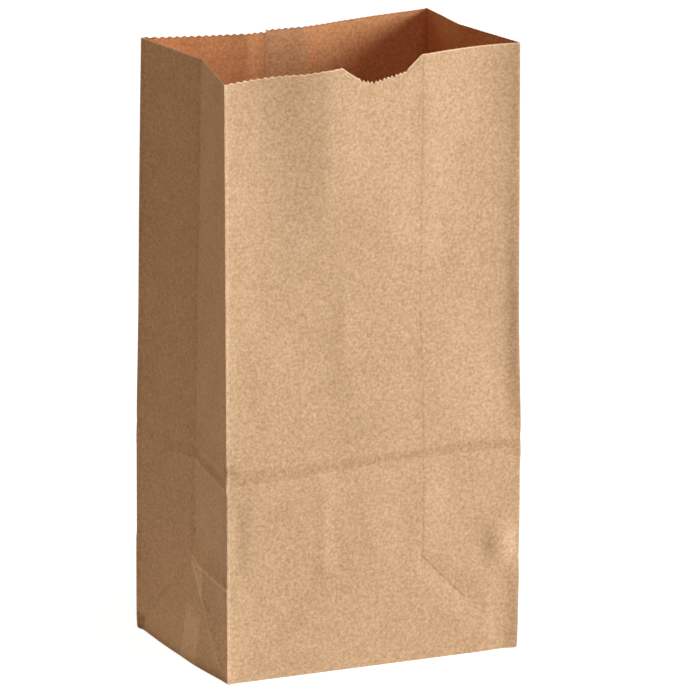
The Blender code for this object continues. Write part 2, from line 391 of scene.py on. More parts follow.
def swing(side, end, z):
    """How far the foot of the bag swells forwards at its right and back at its left."""
    if side == end:
        return 0.0
    return (SWELL_RIGHT if side > 0 else SWELL_LEFT) * block_swell(z)


print("the mouth is", round(2000 * edge_depth(-1, HEIGHT), 1), "mm deep at the left")

# %% [markdown]
# ## The forms that handling left
#
# Each of these is a height above or below the plain wall, added along the wall's
# outward direction. Two shapes are enough for nearly all of them: a hump, which is round
# on top and eases out, and a pleat, which is sharp along its line. Both are 1 on their
# line and 0 at their reach. A mark is then written as one product: how far it stands out,
# times its shape with the distance from its line and its reach, times the stretch that
# it runs along. A mark that stands in is taken away instead of added.

# %% Hump, pleat and slow waves
def hump(distance, reach):
    """1 on the line, easing to 0 at its reach."""
    share = min(abs(distance) / reach, 1.0)
    return (1 - share * share) ** 2


def pleat(distance, reach):
    """1 on a sharp line, running straight down to 0 at its reach."""
    return max(0.0, 1 - abs(distance) / reach)


def between(value, low, high, ease):
    """1 between two places, easing to 0 outside them."""
    return soft(min(value - low, high - value) / ease + 1)


def wave(s, t, size, seed):
    """A slow random wave of the given size, from -1 to 1."""
    return noise.noise(Vector((s / size, t / size, seed)))


def cockle(s, t):
    """Slow waves of the sheet, still at the foot, where the folds hold it flat."""
    free = min(max(t / 0.03, 0.0), 1.0)
    waves = 0.00030 * wave(s, t * 0.45, 0.026, 3.1)
    return free * (waves + 0.00010 * wave(s, t * 0.7, 0.009, 7.7))


print("a wave of the sheet at the front's middle:", cockle(FRONT_LEFT + WIDTH / 2, 0.1))

# %% [markdown]
# ## The front above the folded band
#
# The front is held only at its two edges and at the band, so above the band it waves. A
# carpenter would record such a surface with a set of templates cut at a few heights, and
# so does this table: how far the front stands out, in millimetres, at each place from
# left to right. The broad ridge left of the notch and the sharp line on the right lie
# where the gussets were once pressed against the front. Paper bends between its folds in
# straight lines, so between two templates and between two places straight lines are
# drawn too.

# %% Templates of the front
TEMPLATE_AT = (0, 4, 9, 14, 21, 30, 37.3, 40, 46, 52, 62, 73, 76.7, 84, 91, 97, 103, 108, 113)
TEMPLATES = {
    0.0770: (0,) * 19,
    0.0880: (0, -.1, -.3, -.2, 0, .1, .1, .1, .3,
             .7, .5, .2, .2, .3, .2, .2, 0, -.2, 0),
    0.1040: (0, -.2, -.4, -.4, -.4, -.3, -.2, -.2, .3,
             .2, -.2, -.4, -.3, -.3, -.5, -.8, -1, -.8, 0),
    0.1190: (0, -.2, -.3, -.4, -.5, -.7, -.7, -.6, -.1,
             -.6, -.8, -.9, -.8, -.8, -.8, -1, -1, -.8, 0),
    0.1340: (0, -.3, -.7, -1, -1.2, -1.2, -1.1, -1, -.4,
             -.8, -.9, -1.2, -1.3, -1.3, -1.2, -1.3, -1.1, -.8, 0),
    0.1500: (0, -.3, -.7, -1, -.9, -.3, 0, 0, .3,
             .4, .2, -.5, -.8, -1.5, -1.6, -1.4, -1.1, -.7, 0),
    0.1750: (0, -.3, -.7, -.8, -.5, .6, 1.6, 1.7, 1.7,
             1.5, 1, 0, 0, -.8, -1.5, -1.6, -1.3, -.6, 0),
    0.2020: (0, -.2, -.3, -.1, .7, 2.4, 3.5, 3.5, 3,
             2.2, 1.4, .8, .8, -.2, -1.1, -1.5, -1.3, -.6, 0),
    0.2175: (0, 0, -.2, .1, 1.1, 2.8, 3.8, 3.8, 2.8,
             1.9, 1.7, 1.2, 1.1, .1, -.9, -1.3, -1.1, -.5, 0),
}


def template(u, z):
    """How far the waving front stands out at u from its left edge, read off the templates."""
    at = [interp(u * 1000, TEMPLATE_AT, row) for row in TEMPLATES.values()]
    return float(interp(z, list(TEMPLATES), at)) / 1000


print("the left ridge stands out", round(template(0.0385, HEIGHT) * 1000, 1), "mm at the mouth")

# %% [markdown]
# ## Folds and marks of the front
#
# Two creases run across the front where the flat bag's bottom was folded up, and they
# draw together to the right. Below them the gussets' knees left an upright line on each
# side, and the right one turns into a slanting crease near the foot. Beside the knees
# the edges are bruised.

# %% Front
LOWER_LINE = ((0.0, 0.028, 0.060, WIDTH), (0.0710, 0.0714, 0.0730, 0.0730))
UPPER_LINE = ((0.0, 0.060, WIDTH), (0.0772, 0.0767, 0.0772))


def lower_line(u):
    """Height of the lower crease across the front."""
    return float(interp(u, *LOWER_LINE))


def upper_line(u):
    """Height of the upper crease across the front."""
    return float(interp(u, *UPPER_LINE))


def front_relief(u, z):
    """How far the front stands out at u from its left edge."""
    v = WIDTH - u
    from_upper = z - upper_line(u)
    from_lower = z - lower_line(u)
    out = template(u, z)
    out += 0.00028 * hump(from_upper, 0.0040)
    out -= 0.00030 * hump(from_lower, 0.0036)
    out += 0.00030 * hump(from_lower + 0.0065, 0.0055)
    above_knees = between(z, 0.0380, 0.0680, 0.004)
    out += above_knees * (0.0004 * pleat(u - HALF_DEPTH, 0.0040))
    out += above_knees * (0.0004 * hump(u - 0.0560, 0.0140))
    out += above_knees * (0.0004 * pleat(v - HALF_DEPTH, 0.0090))
    out -= above_knees * (0.0004 * hump(v - 0.0280, 0.0090))
    return out + front_foot(u, v, z)


def front_foot(u, v, z):
    """The slanting creases and the dents near the foot, u from the left, v from the right."""
    near_foot = between(z, 0.020, HALF_DEPTH, 0.008) * between(v, 0, HALF_DEPTH, 0.004)
    out = -0.0006 * pleat((z - v) / sqrt(2), 0.0070) * near_foot
    out -= 0.00040 * hump((u - z) / sqrt(2), 0.0070) * between(z, 0.006, 0.032, 0.008)
    out -= 0.00055 * hump(u - 0.0040, 0.0050) * between(z, 0.044, 0.062, 0.010)
    out += 0.00050 * hump(u - 0.0030, 0.0040) * hump(z - 0.0310, 0.0080)
    out += 0.00130 * hump(v - 0.0078, 0.0070) * hump(z - 0.0390, 0.0100)
    out -= 0.00065 * hump(v - 0.0190, 0.0095) * hump(z - 0.0430, 0.0120)
    out -= 0.00050 * hump(v - 0.0060, 0.0070) * between(z, 0.0, 0.024, 0.006)
    return out


print("the left shoulder stands out", round(front_relief(0.0432, HEIGHT) * 1000, 2), "mm")

# %% [markdown]
# ## Relief of the gussets and the back
#
# The left gusset is seen best. The fold of the flat bag crosses it as a pair of creases,
# the upper one a hollow and the lower one a ridge. A little below the knee a level ridge
# runs to the front edge, and the slanting folds run from the knee down to the corners.
# The right gusset and the back are given the same kinds of marks, as the same folds made
# them.

# %% Gussets and back
OVER_LEFT = ((0.0, HALF_DEPTH, 0.048, DEPTH), (0.0771, 0.0783, 0.0803, 0.0784))
UNDER_LEFT = ((0.0, 0.0145, HALF_DEPTH, DEPTH), (0.0695, 0.0707, 0.0717, 0.0712))
OVER_RIGHT = ((0.0, HALF_DEPTH, 0.050, DEPTH), (0.0772, 0.0806, 0.0790, 0.0770))
UNDER_RIGHT = ((0.0, HALF_DEPTH, DEPTH), (0.0728, 0.0722, 0.0710))
RIDGE_LINE = ((0.0, 0.0300, HALF_DEPTH), (0.0338, 0.0343, 0.0363))


def gusset_lines(side, v):
    """Heights of the two creases across a gusset, at v from its front edge."""
    over, under = (OVER_LEFT, UNDER_LEFT) if side < 0 else (OVER_RIGHT, UNDER_RIGHT)
    return float(interp(v, *over)), float(interp(v, *under))


def ridge_line(v):
    """Height of the level ridge between a gusset's front edge and its knee."""
    return float(interp(v, *RIDGE_LINE))


def slanting_fold(v, z):
    """Distance from the fold that runs from the knee down to the nearer bottom corner."""
    return (min(v, DEPTH - v) - z) / sqrt(2)


def gusset_relief(side, v, z):
    """How far a side wall stands out at v from its front edge. Its back half is flatter."""
    over, under = gusset_lines(side, v)
    front_half = between(v, 0.0, HALF_DEPTH, 0.002)
    fresh = 0.35 + 0.65 * front_half
    out = 0.00035 * fresh * hump(z - over, 0.0050)
    out -= 0.00075 * fresh * hump(z - (over + under) / 2, 0.5 * (over - under) + 0.0005)
    out += 0.00045 * pleat(z - under, 0.0035)
    out += 0.00090 * front_half * pleat(z - ridge_line(v), 0.0065)
    out -= 0.00050 * front_half * hump(z - 0.0450, 0.0120)
    slant = pleat(slanting_fold(v, z), 0.0035) * between(z, 0.006, 0.030, 0.005)
    out += (0.00055 if v < HALF_DEPTH else -0.00040) * slant
    return out


def back_relief(from_left, z):
    """How far the back stands out, measured from the back's left edge."""
    out = 0.00025 * hump(z - BAND_HIGH, 0.0040) - 0.00030 * hump(z - BAND_LOW, 0.0036)
    from_right = WIDTH - from_left
    for distance in (from_left - HALF_DEPTH, from_right - HALF_DEPTH):
        out += 0.00050 * pleat(distance, 0.0080) * between(z, HALF_DEPTH, 0.068, 0.006)
        out += 0.00060 * pleat(distance, 0.0140) * between(z, 0.085, 1, 0.010)
    foot = between(z, 0.012, HALF_DEPTH, 0.008)
    for near in (from_left, from_right):
        out += 0.00040 * pleat((near - z) / sqrt(2), 0.0060) * foot
    return out


print("ridge at the gusset's knee:", round(gusset_relief(-1, 0.03, 0.0358) * 1000, 2), "mm")

# %% [markdown]
# ## The pinched edges
#
# An edge that was pressed flat and opened again keeps a small ridge, as the paper
# remembers its fold. The last millimetres on both sides of an edge lean outwards, and
# the very tip is round. Between the knee and the folded band the ridge is worn away, and
# where the band meets the front edges they are bruised. The push is the same for both
# walls that meet at an edge, so they stay joined. An edge is named by its side, -1 for
# left and 1 for right, and its end, -1 for front and 1 for back.

# %% Ridge along the upright edges
PINCH = {(-1, -1): 0.00060, (1, -1): 0.00085, (-1, 1): 0.00095, (1, 1): 0.00045}
PINCH_AT = (0.0, 0.004, 0.026, 0.034, 0.042, 0.066, 0.082, HEIGHT)
LEFT_SHARE = (0.9, 1.2, 1.2, 1.2, 0.3, 0.3, 1.0, 1.0)
RIGHT_SHARE = (0.8, 1.0, 0.8, 0.1, 0.1, 0.3, 1.0, 1.0)
BRUISED = {(-1, -1): 1.25, (1, -1): 0.5625, (-1, 1): 0.15, (1, 1): 0.15}
RIDGE_REACH = 0.0026
TIP_ROUND = 0.00012
TIP_REACH = 0.00035
BRUISE_REACH = 0.0030
SIDEWAYS = {-1: 0.8, 1: 0.15}


def edge_push(side, end, from_edge, z):
    """How far the paper beside an upright edge is pushed out."""
    share = float(interp(z, PINCH_AT, LEFT_SHARE if side < 0 else RIGHT_SHARE))
    if end > 0:
        share = max(share, 1.0)
    ridge = share * PINCH[side, end] * exp(-(from_edge / RIDGE_REACH) ** 1.2)
    ridge -= TIP_ROUND * exp(-(from_edge / TIP_REACH) ** 2)
    nick = 0.00060 * hump(z - BAND_HIGH - 0.0004, 0.0024)
    bump = 0.00042 * hump(z - BAND_LOW + 0.0002, 0.0030)
    near = exp(-(from_edge / BRUISE_REACH) ** 2)
    return ridge + BRUISED[side, end] * (bump - nick) * near


def sideways(side, push):
    """The part of the push that goes sideways. The right edges stand out mostly forwards."""
    return push * SIDEWAYS[side]


print("an edge leans out by", round(edge_push(-1, -1, 0.0, 0.1) * 1000, 2), "mm")

# %% [markdown]
# ## Marks that belong to the sheet
#
# Fibres, flecks and rubbed creases bend with the paper, so their pattern can't be tied
# to space. The sheet is still flat here, which makes its map exact: the two directions
# are simply s and t, scaled to the blank. For marks that follow the crooked creases each
# point also remembers how far it lies from them, above or below. The material can read
# such a number back, and it stays exact between the points too.

# %% Map the sheet and note the distances
paper_map = bag.data.uv_layers[0]
paper_map.name = "blank"
for loop in bag.data.loops:
    s, t, _ = bag.data.vertices[loop.vertex_index].co
    paper_map.data[loop.index].uv = (s / BLANK_END, (t + FLAP) / (HEIGHT + FLAP))


def band_lines(s):
    """Heights of the two creases across the wall that holds s."""
    if BACK_LEFT < s < FRONT_LEFT:
        return gusset_lines(-1, FRONT_LEFT - s)
    if FRONT_RIGHT < s < BACK_RIGHT:
        return gusset_lines(1, s - FRONT_RIGHT)
    if FRONT_LEFT <= s <= FRONT_RIGHT:
        return upper_line(s - FRONT_LEFT), lower_line(s - FRONT_LEFT)
    return BAND_HIGH, BAND_LOW


def note(name, measure):
    """Let each point of the flat sheet remember one number."""
    numbers = bag.data.attributes.new(name, "FLOAT", "POINT")
    for vert in bag.data.vertices:
        numbers.data[vert.index].value = measure(vert.co.x, vert.co.y)


note("above_upper", lambda s, t: t - band_lines(s)[0])
note("above_lower", lambda s, t: t - band_lines(s)[1])
note("above_ridge", lambda s, t: t - ridge_line(
    min(abs(s - FRONT_LEFT), abs(s - FRONT_RIGHT))))
print("mapped", len(paper_map.data), "corners of faces")

# %% [markdown]
# ## Carrying the sheet to its place
#
# Every point of the sheet belongs to one of four walls or to the bottom. The bottom is a
# stack of folded layers: the side flaps lie inside, then the front flap with its tucked
# corners, and the back flap outside, each a paper's thickness and a little air below the
# one before. Where the lap of the seam runs through it, the back flap is two papers.
# A wall's foot lies in the layer of its flap, and its mouth is at the full height.

# %% Stack the bottom's layers
SIDE_FLAP, FRONT_CORNER, FRONT_FLAP, BACK_CORNER, SEAM_INNER, BACK_FLAP = range(1, 7)


def layer_height(layer):
    """Height of the middle of one layer of the bottom."""
    return PAPER / 2 + (BACK_FLAP - layer) * PITCH


def wall_height(t, foot):
    """Height on a wall whose foot lies in one of the bottom's layers."""
    return foot + t * (1 - foot / HEIGHT)


print("the side flaps lie", round(layer_height(SIDE_FLAP) * 1000, 2), "mm up")

# %% Fold the walls
FOOT_BOW = {-1: 0.0017, 1: 0.0010}
EDGE_HOLD = 0.003


def foot_bow(side, from_middle):
    """How far the bottom edge of a gusset bows out."""
    return FOOT_BOW[side] * (1 - from_middle ** 2)


def hold(from_edge):
    """0 on an edge, where two walls have to meet, growing to 1 a little inside it."""
    return min(from_edge / EDGE_HOLD, 1.0)


def stand_gusset(s, t, side, from_front):
    """A point of a side wall."""
    z = wall_height(t, layer_height(SIDE_FLAP))
    from_middle = (from_front - HALF_DEPTH) / HALF_DEPTH
    end = 1 if from_middle > 0 else -1
    from_edge = min(from_front, DEPTH - from_front)
    inset = min(1 - abs(from_middle), z / HALF_DEPTH) * gusset_inset(side, z)
    if side < 0:
        inset += max(from_middle, 0.0) * take_up(z)
    inset -= foot_bow(side, from_middle) * max(0.0, 1 - z / HALF_DEPTH)
    push = edge_push(side, end, from_edge, z)
    out = hold(from_edge) * (gusset_relief(side, from_front, z) + cockle(s, t)) - inset
    out += sideways(side, push)
    y = from_middle * edge_depth(side, z) + end * push
    y += end * swing(side, end, z) * abs(from_middle)
    return Vector((side * (WIDTH / 2 + out), y, z + climb(s, z)))


def stand_wide(s, t, end, from_left, inset, foot):
    """A point of the front or the back wall. Both papers of the lap share their waves."""
    z = wall_height(t, foot)
    share = from_left / WIDTH
    depth = (1 - share) * edge_depth(-1, z) + share * edge_depth(1, z)
    depth += (1 - share) * swing(-1, end, z) + share * swing(1, end, z)
    side = -1 if from_left < WIDTH / 2 else 1
    from_edge = min(from_left, WIDTH - from_left)
    push = edge_push(side, end, from_edge, z)
    x = from_left - WIDTH / 2 + side * sideways(side, push)
    if end < 0:
        out = front_relief(from_left, z)
    else:
        out = back_relief(from_left, z) - back_dent(from_left, z)
        x += take_up(z) * (1 - share)
    waves_at = FRONT_LEFT * (end > 0) + from_left + 1
    out = hold(from_edge) * (out + cockle(waves_at, t)) + push - inset
    return Vector((x, end * (depth + out), z + climb(s, z)))


print("the left gusset's foot bows out by", FOOT_BOW[-1] * 1000, "mm")

# %% [markdown]
# ## Folding the bottom
#
# When the bottom is folded, the corners of the front and back flaps are tucked in over
# the side flaps. Each turns over along a slanting fold that starts in the bag's corner.
# So a point of such a flap lies either in the flap or in the tucked corner, and within
# the turn of the fold it passes smoothly from one layer to the other.

# %% Fold the bottom
BOW_REACH = 0.02


def fold_wide_flap(side, end, from_edge, reach, inset, layers):
    """A point of the front or back flap, or of the corner tucked under its side."""
    corner_layer, flap_layer = layers
    clear = PITCH if end < 0 else 2 * PITCH
    flap = Vector((from_edge, reach + inset, layer_height(flap_layer) + inset))
    corner = Vector((reach, from_edge - TURN + clear, layer_height(corner_layer)))
    share = min(max((from_edge - reach) / DIAGONAL_TURN / 2 + 0.5, 0.0), 1.0)
    at = corner.lerp(flap, share)
    return Vector((side * (WIDTH / 2 - at.x), end * (HALF_DEPTH - at.y), at.z))


def fold_side_flap(side, from_front, reach):
    """A point of a side flap, which lies innermost."""
    share = (from_front - TURN) / (DEPTH - 2 * TURN)
    y = PITCH + share * (DEPTH - 3 * PITCH) - HALF_DEPTH
    bow = foot_bow(side, 2 * share - 1) * max(0.0, 1 - reach / BOW_REACH)
    return Vector((side * (WIDTH / 2 - reach + bow), y, layer_height(SIDE_FLAP)))


print("a side flap's end goes to", fold_side_flap(1, HALF_DEPTH, FLAP))

# %% [markdown]
# ## Letting the bag down
#
# The back flap covers only the back half of the bottom, so the front half settles by its
# thickness onto the floor. The right foot of this bag is also drawn in a little. With
# that, each point of the sheet can be sent to its place: its s and t say which wall or
# flap it is in, and how far it lies from the edge.

# %% Fold the whole sheet
SETTLE_FROM = 0.002
SETTLE_OVER = 0.016
SETTLE_BELOW = 0.03
DRAWN_IN = 0.0013
DRAWN_BELOW = 0.045


def settle(place):
    """Let the front half of the bag down to the floor, and draw its right foot in."""
    drop = (BACK_FLAP - FRONT_FLAP) * PITCH * soft((SETTLE_FROM - place.y) / SETTLE_OVER)
    rightwards = min(max(place.x / WIDTH + 0.5, 0.0), 1.0)
    forwards = min(max(0.5 - place.y / DEPTH, 0.0), 1.0)
    place.x -= DRAWN_IN * rightwards * forwards * max(0.0, 1 - place.z / DRAWN_BELOW)
    place.z -= drop * max(0.0, 1 - place.z / SETTLE_BELOW)
    return place


def fold(s, t):
    """The place on the standing bag of the point (s, t) of the flat blank."""
    if BACK_LEFT < s < FRONT_LEFT or FRONT_RIGHT < s < BACK_RIGHT:
        side = -1 if s < FRONT_LEFT else 1
        from_front = FRONT_LEFT - s if side < 0 else s - FRONT_RIGHT
        if t < 0:
            return fold_side_flap(side, from_front, -t)
        return stand_gusset(s, t, side, from_front)
    end, inset, layers = 1, 0.0, (BACK_CORNER, BACK_FLAP)
    if s <= BACK_LEFT:
        from_left = BACK_LEFT - s
    elif s < FRONT_RIGHT + TURN:
        end, layers = -1, (FRONT_CORNER, FRONT_FLAP)
        from_left = s - FRONT_LEFT
    else:
        from_left = BACK_RIGHT + WIDTH - s
        past = (from_left - SEAM_START - SEAM_LAP - PITCH) / SEAM_JOGGLE
        inset = PITCH * min(max(1 - past, 0.0), 1.0)
    if t < 0:
        side = -1 if from_left < WIDTH / 2 else 1
        from_edge = min(from_left, WIDTH - from_left)
        return fold_wide_flap(side, end, from_edge, -t, inset, layers)
    return stand_wide(s, t, end, from_left, inset, layer_height(layers[1]) + inset)


for vert in bag.data.vertices:
    vert.co = settle(fold(vert.co.x, vert.co.y))
bag.data.update()
print("folded", len(bag.data.vertices), "points")

# %% [markdown]
# ## The paper's thickness
#
# Solidify gives the single sheet its two sides and its cut edge. The paper is a tenth of
# a millimetre thick, so half goes to each side of the folded surface. The points that it
# adds are those of the inner side, which they remember, as that side is given a browner,
# redder colour, which paints in the glow of light coming through the paper.

# %% Thicken the sheet
bpy.ops.object.select_all(action="DESELECT")
bag.select_set(True)
bpy.context.view_layer.objects.active = bag
thicken = bag.modifiers.new("paper thickness", "SOLIDIFY")
thicken.thickness = PAPER
thicken.offset = 0.0
sheet_points = len(bag.data.vertices)
bpy.ops.object.modifier_apply(modifier=thicken.name)
inner = bag.data.attributes.new("inner", "FLOAT", "POINT")
for vert in bag.data.vertices:
    inner.data[vert.index].value = float(vert.index >= sheet_points)
bpy.ops.object.shade_smooth_by_angle(angle=radians(30))
triangles = sum(len(face.vertices) - 2 for face in bag.data.polygons)
print("the bag has", triangles, "triangles")

# %% [markdown]
# ## Writing a finish as a sum
#
# A finish is easiest to read as a formula. A Flow is a number, a colour or a place that
# flows between nodes. Adding, subtracting, multiplying or dividing flows places the
# Math nodes for it. Every other node is placed by one method of the recipe, which takes
# the node's type, its settings, and what goes into its sockets.

# %% Recipe and Flow
class Recipe:
    """The nodes of one material, or of the world."""

    def __init__(self, owner):
        owner.use_nodes = True
        self.tree = owner.node_tree
        self.tree.nodes.clear()

    def add(self, kind, settings=None, sockets=None):
        """Place a node, and return what flows out of it."""
        node = self.tree.nodes.new("ShaderNode" + kind)
        for name, value in (settings or {}).items():
            setattr(node, name, value)
        for name, value in (sockets or {}).items():
            if isinstance(value, Flow):
                self.tree.links.new(value.socket, node.inputs[name])
            else:
                node.inputs[name].default_value = value
        return Flow(self, node.outputs[0]) if node.outputs else node


class Flow:
    """What flows out of a node. Sums of flows are Math nodes."""

    def __init__(self, recipe, socket):
        self.recipe = recipe
        self.socket = socket

    def out(self, name):
        """Another output of the same node."""
        return Flow(self.recipe, self.socket.node.outputs[name])

    def maths(self, operation, *values):
        return self.recipe.add("Math", {"operation": operation}, dict(enumerate(values)))

    def __add__(self, other):
        return self.maths("ADD", self, other)

    def __sub__(self, other):
        return self.maths("SUBTRACT", self, other)

    def __rsub__(self, other):
        return self.maths("SUBTRACT", other, self)

    def __mul__(self, other):
        return self.maths("MULTIPLY", self, other)

    def __truediv__(self, other):
        return self.maths("DIVIDE", self, other)

    def __abs__(self):
        return self.maths("ABSOLUTE", self)

    __radd__ = __add__
    __rmul__ = __mul__


print("a flow can be added, subtracted, multiplied and divided")

# %% [markdown]
# ## Where a point lies on the blank
#
# The map gives s and t back to the material, and the noted distances come as attributes.
# A few small helpers then draw everything: a cloud is a random mottle of a given size, a
# step is 0 below a place and 1 above it, a line is 1 on its middle and 0 at its edge, and
# a stretch is 1 between two places. Places and widths are in metres, as on the blank.

# %% Helpers of the paper's recipe
paper = bpy.data.materials.new("kraft_paper")
recipe = Recipe(paper)
on_map = recipe.add("SeparateXYZ", {}, {"Vector": recipe.add("UVMap", {"uv_map": "blank"})})
s_at = on_map * BLANK_END
t_at = on_map.out("Y") * (HEIGHT + FLAP) - FLAP


def noted(name):
    """A number that the points of the sheet remember."""
    return recipe.add("Attribute", {"attribute_name": name}).out("Fac")


def cloud(width, height, seed, detail=2.0, lean=0.0):
    """Random mottle around 0, with blotches of that width and height in metres."""
    across = (s_at + t_at * lean) / width
    spot = recipe.add("CombineXYZ", {}, {"X": across, "Y": t_at / height, "Z": seed})
    return recipe.add("TexNoise", {}, {
        "Vector": spot, "Scale": 1.0, "Detail": detail, "Roughness": 0.6}) - 0.5


def step(value, low, high):
    """0 below low, 1 above high, and a smooth rise between them."""
    return recipe.add("MapRange", {"interpolation_type": "SMOOTHSTEP"}, {
        "Value": value, "From Min": low, "From Max": high})


def line(distance, width):
    """1 on a line, 0 beyond its width."""
    return 1 - step(abs(distance), 0.0, width)


def stretch(value, low, high, ease):
    """1 between two places, 0 outside them."""
    return step(value, low - ease, low) * (1 - step(value, high, high + ease))


print("the recipe has", len(recipe.tree.nodes), "nodes so far")

# %% [markdown]
# ## Fibres and flecks
#
# Unbleached kraft is brown because the wood's own colour is left in its fibres. They
# clump while the pulp drains, which gives a mottle of about a millimetre. They also lie
# mostly along the web, which runs up the bag, so a second and finer pattern is drawn out
# in that direction, leaning a little to both sides. Slow clouds make it thicker here and
# thinner there, and now and then a sliver of bark shows as a dark fleck.

# %% Tone of the bare paper
mottle = cloud(0.00112, 0.00094, 1.7, detail=3.0)
fibre = cloud(0.00042, 0.0016, 5.2, lean=0.35) + cloud(0.00042, 0.0016, 8.4, lean=-0.30)
drift = cloud(0.009, 0.013, 3.3) + cloud(0.034, 0.045, 6.1)
fleck = step(cloud(0.0007, 0.0013, 9.9, detail=1.0), 0.235, 0.29)
tone = 0.92 * mottle + 0.34 * fibre + 0.16 * drift - 0.22 * fleck
print("bare paper takes", len(recipe.tree.nodes), "nodes")

# %% [markdown]
# ## What folding and handling did to the colour, and painted light and shade
#
# A crease breaks the fibres. On the side where it stands out it is rubbed and turns
# pale, and in its hollow it stays dark. These pale and dark lines also paint part of the
# highlight on what stands out and of the shade in the hollows, and some wider, softer
# masks are painted shade. So each mark is drawn as a mask, which is 1 on the mark and 0
# beside it, and the masks are added up at the end, each with its weight. The first masks
# are those of the cut, the lap and the upright edges. The cut shows the pale inside of
# the paper, on the outer face only, because the knife came from there, and its pale line
# also paints the highlight that the cut edge catches.

# %% Cut, lap and upright edges
inside = noted("inner")
outside = 1 - inside
# The cut's pale line on the outer face is partly a painted highlight of the cut edge.
cut_edge = 1 - step(noted("from_cut"), 0.00035, 0.00060)
seam = line(s_at - 0.0003, 0.0007)

# v_at runs back over both gussets from their front edges, as v does in the relief above.
v_at = abs(s_at - (FRONT_LEFT + FRONT_RIGHT) / 2) - WIDTH / 2
gusset = stretch(v_at, 0.0, DEPTH, 0.0005)
front_half = stretch(v_at, 0.0, HALF_DEPTH, 0.0008)
back_half = gusset - front_half

pale_rim = stretch(s_at, FRONT_LEFT, FRONT_LEFT + 0.0010, 0.0005) * step(t_at, 0.0, 0.002)
dark_rim = stretch(v_at, 0.0004, 0.0014, 0.0006) + stretch(v_at, DEPTH - 0.0016, DEPTH, 0.0005)
dark_rim = dark_rim + line(s_at - FRONT_RIGHT, 0.0010)
rub = line(s_at - FRONT_RIGHT + 0.0045, 0.0060) * line(t_at - 0.0390, 0.0120)
print("with the edges' marks the paper takes", len(recipe.tree.nodes), "nodes")

# %% [markdown]
# ## Marks across the bag and up the gusset
#
# The band between the two folds across the bag was bent both ways. It is painted a
# little darker all over, as painted shade, with pale lines where the folds stand out,
# which are rubbed and also paint their highlight. On the gusset's front half the upper
# fold's hollow is painted dark, as painted shade. The middle crease of a gusset is a
# hollow, and the paper behind it is painted a little darker, as painted shade. The level
# ridge below the knee is rubbed pale, which also paints its highlight, and the paper
# above it is painted darker, as painted shade.

# %% Band, middle crease and ridge
above_upper, above_lower, above_ridge = map(noted, ("above_upper", "above_lower", "above_ridge"))
# The band mask makes the band darker: painted shade.
band = step(above_lower, -0.0004, 0.0008) * (1 - step(above_upper, -0.0008, 0.0004))
# Pale lines at the lower crease are rubbed and also paint its highlight. band_top is the upper
# crease: painted shade in its hollow on the gusset's front half, and pale on the back half.
band_edge = line(above_lower + 0.0004, 0.0006)
band_top = line(above_upper - 0.0002, 0.0010)
under_band = front_half * line(above_lower + 0.0005, 0.0013)
# The paper behind a gusset's middle crease is painted darker: painted shade.
middle = back_half * (1 - step(v_at, HALF_DEPTH + 0.0005, HALF_DEPTH + 0.0050))
middle = middle * stretch(t_at, HALF_DEPTH, HEIGHT, 0.002)
# The level ridge's pale line is rubbed and also paints its highlight. ridge_shade is painted
# shade on the paper above it.
ridge = front_half * stretch(above_ridge, -0.0005, 0.0002, 0.0006)
ridge_shade = front_half * (1 - step(v_at, 0.010, 0.028)) * (
    step(above_ridge, 0.0002, 0.0012) * (1 - step(above_ridge, 0.003, 0.012)))
print("with the level marks the paper takes", len(recipe.tree.nodes), "nodes")

# %% [markdown]
# ## Marks of the slanting folds
#
# The slanting folds of a gusset run from its knee down to the bottom corners. The front
# one keeps a little behind the corner's bisector. The paper shows pale on both sides of
# it, in a wedge below the knee and in a patch at the foot, and dark in the fold itself.
# The gusset was once pressed flat against the front, which left an upright imprint
# there, and the slanting crease at its lower end.

# %% Slanting folds
FOLD_SHIFT = 0.0045
SQUARE_ON = 1 / sqrt(2)

foot = stretch(t_at, 0.006, 0.033, 0.004)
behind = v_at - t_at - FOLD_SHIFT
front_fold = foot * front_half * line(behind * SQUARE_ON, 0.0008)
front_pale = foot * front_half * line(behind * SQUARE_ON + 0.0012, 0.0018)
# fold_shade paints shade on the paper in front of the front slanting fold, near the foot.
fold_shade = foot * front_half * (1 - step(behind, -0.0035, -0.0015))
wedge = stretch(v_at, 0.0265, 0.0500, 0.0008) * (1 - step(behind, -0.0008, 0.0))
wedge = wedge * stretch(t_at, 0.0225, 0.0340, 0.0015)
patch = stretch(v_at, 0.0260, 0.0368, 0.0012) * (1 - step(t_at, 0.012, 0.024))
foot_corner = step(v_at, 0.0690, 0.0710) * (1 - step(v_at, DEPTH - 0.0008, DEPTH))
foot_corner = foot_corner * (1 - step(t_at, 0.0035, 0.0060))
back_fold = foot * back_half * line((DEPTH - v_at - t_at) * SQUARE_ON, 0.0016)
imprint = line(s_at - FRONT_RIGHT + HALF_DEPTH + 0.0002, 0.0006) * step(t_at, 0.037, 0.039)
slant_at = (s_at - FRONT_RIGHT + t_at) * SQUARE_ON
slant = line(slant_at, 0.0006) * stretch(t_at, 0.0215, HALF_DEPTH, 0.002)
print("with the slanting marks the paper takes", len(recipe.tree.nodes), "nodes")

# %% [markdown]
# ## All the wear and painted light and shade together
#
# Rubbed lines and dark lines, which also carry painted highlight and painted shade, are
# broken up by a cloud, as no crease is worn evenly along its length. The painted shades
# and the soft pale marks are wider and softer, and are left smooth. On the inner face none
# of this shows, and there the cut is dark.

# %% Wear, painted light and painted shade
rough_edge = 0.6 + 1.6 * cloud(0.0020, 0.0026, 2.9)
# Rubbed pale lines; on the ridges and folds that stand out they also paint the highlight.
rubbed_and_highlit = (
    0.28 * pale_rim + 0.20 * rub + 0.20 * seam + 0.36 * ridge + 0.14 * front_pale
    + 0.08 * band_edge + 0.22 * under_band + 0.06 * back_half * band_top)
